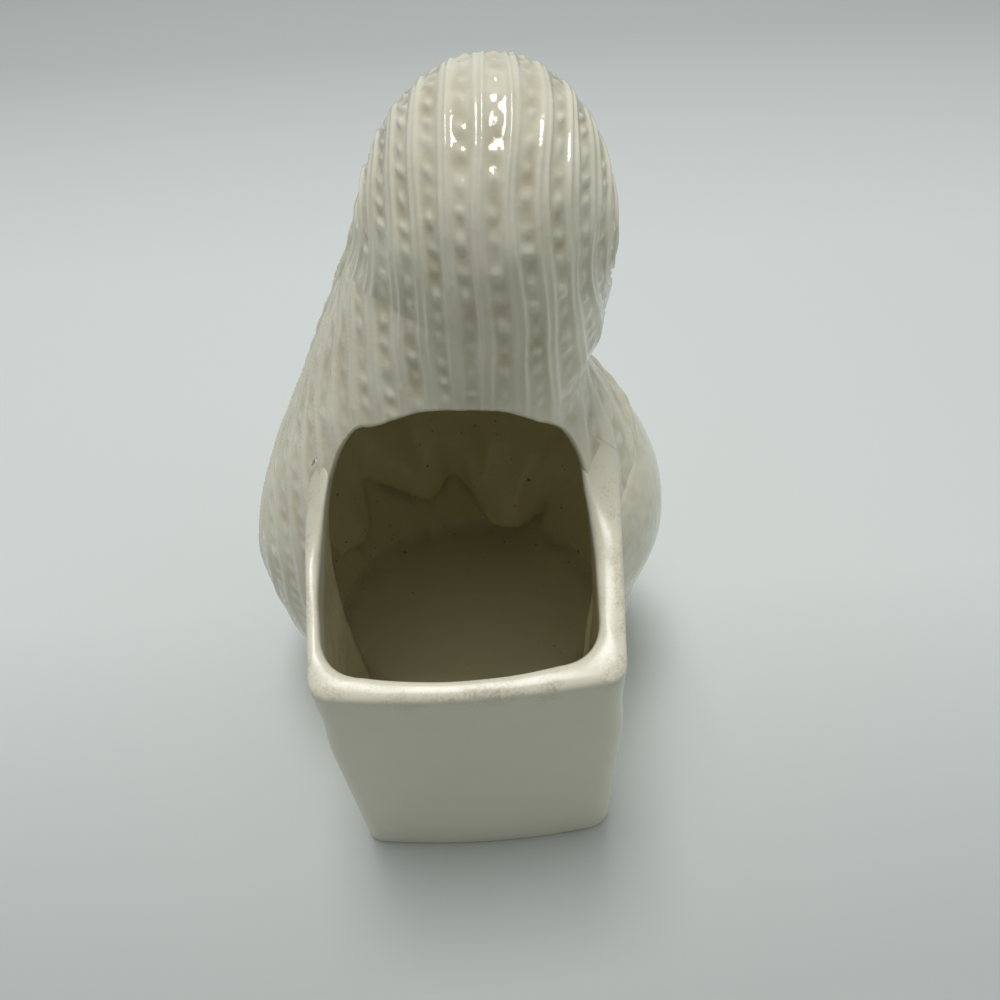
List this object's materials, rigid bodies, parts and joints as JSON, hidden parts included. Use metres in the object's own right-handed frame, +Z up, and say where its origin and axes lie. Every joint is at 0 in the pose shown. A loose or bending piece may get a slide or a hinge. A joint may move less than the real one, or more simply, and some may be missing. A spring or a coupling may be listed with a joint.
{
  "type": "figural ceramic planter",
  "caption": "Cream glazed ceramic planter: a veiled praying bust with a square open-topped plant box on its back.",
  "frame": {"origin": "on the ground, in the middle of the footprint's bounding box", "axes": "+Z up; +Y towards the planter box on the figure's back, so the figure faces -Y and +X is its left"},
  "size_m": [0.1252, 0.15, 0.1896],
  "materials": {
    "cream_glaze": "glossy",
    "box_glaze": "glossy"
  },
  "bodies": {
    "root": {"floor_slab": "box_glaze", "box_back_wall": "box_glaze", "box_left_wall": "box_glaze", "box_right_wall": "box_glaze", "veil": "cream_glaze", "veil_border": "cream_glaze", "robe": "cream_glaze", "collar": "cream_glaze", "face": "cream_glaze", "hair_left": "cream_glaze", "hair_right": "cream_glaze", "sleeve_left": "cream_glaze", "sleeve_right": "cream_glaze", "hand_left": "cream_glaze", "hand_right": "cream_glaze"}
  },
  "joints": []
}
